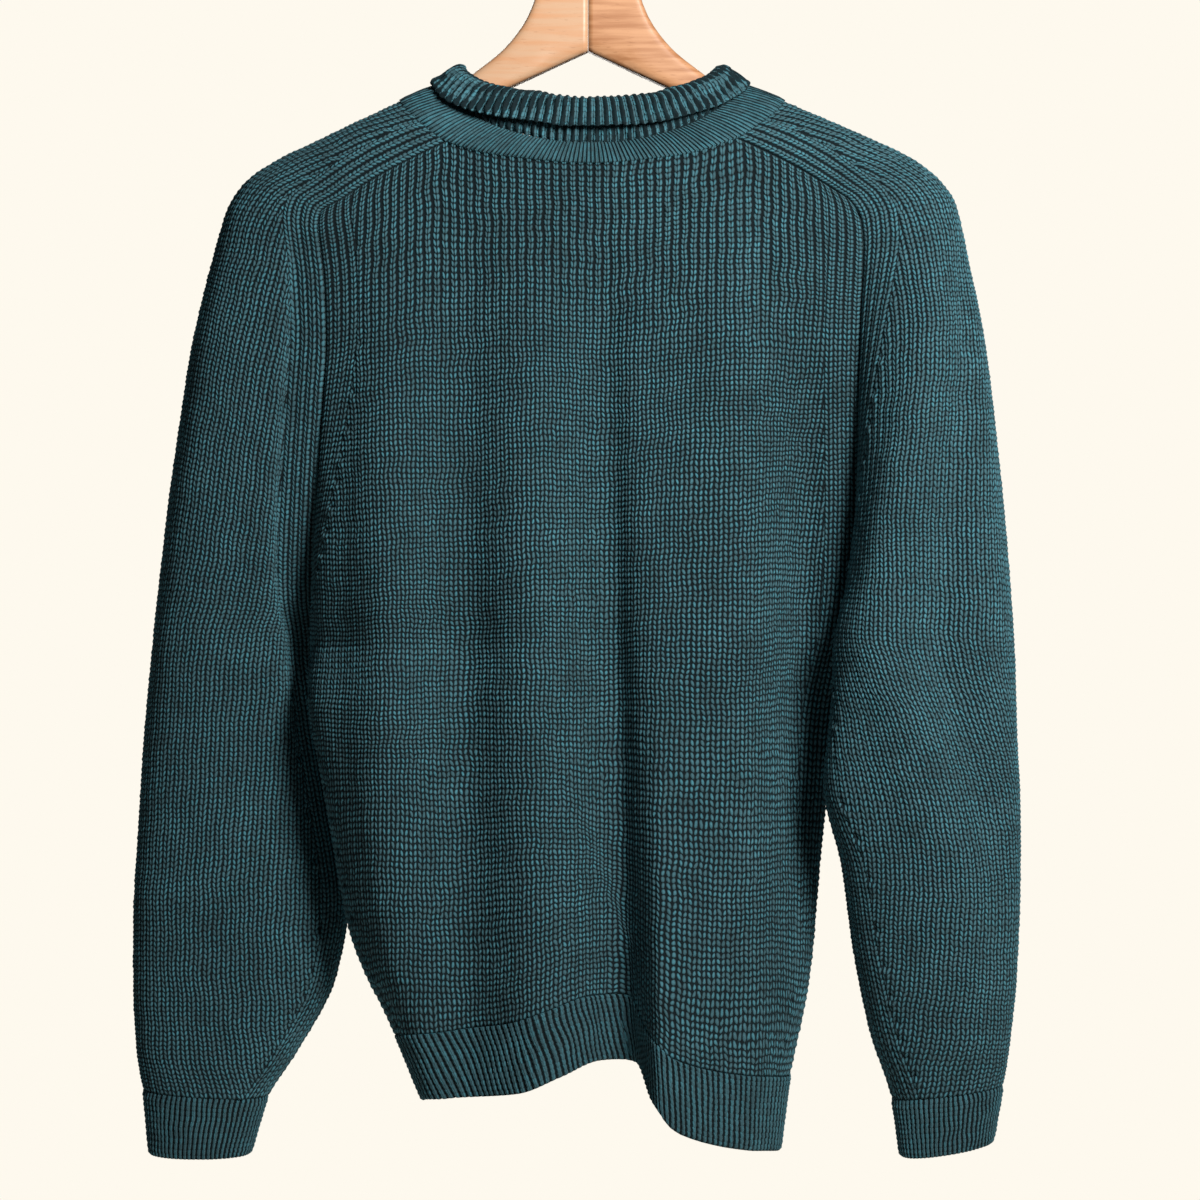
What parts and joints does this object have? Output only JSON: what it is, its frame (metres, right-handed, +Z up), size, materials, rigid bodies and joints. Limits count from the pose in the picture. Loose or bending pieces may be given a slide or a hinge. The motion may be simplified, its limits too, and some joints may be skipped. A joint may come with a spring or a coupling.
{
  "type": "turtleneck sweater on a wooden hanger",
  "caption": "Chunky knit roll-neck pullover with saddle shoulders, ribbed hem and cuffs, hanging on a two-part wooden hanger with a wire hook.",
  "frame": {"origin": "inside the crown of the hanger's hook, where it sits on a rail", "axes": "+Z up, -Y the way the garment's back faces, +X towards the wearer's right sleeve"},
  "size_m": [0.5473, 0.1546, 0.8503],
  "materials": {
    "wool_body": "matte knit",
    "wool_rib": "matte rib knit",
    "wood_left": "satin",
    "wood_right": "satin",
    "steel": "plated wire"
  },
  "bodies": {
    "root": {"back_panel": "wool_body", "front_panel": "wool_body", "left_sleeve": "wool_body", "right_sleeve": "wool_body", "neck_band": "wool_rib", "rolled_collar": "wool_rib", "back_welt": "wool_rib", "front_welt": "wool_rib", "left_cuff": "wool_rib", "right_cuff": "wool_rib", "left_hanger_arm": "wood_left", "right_hanger_arm": "wood_right", "hanger_hook": "steel"}
  },
  "joints": []
}
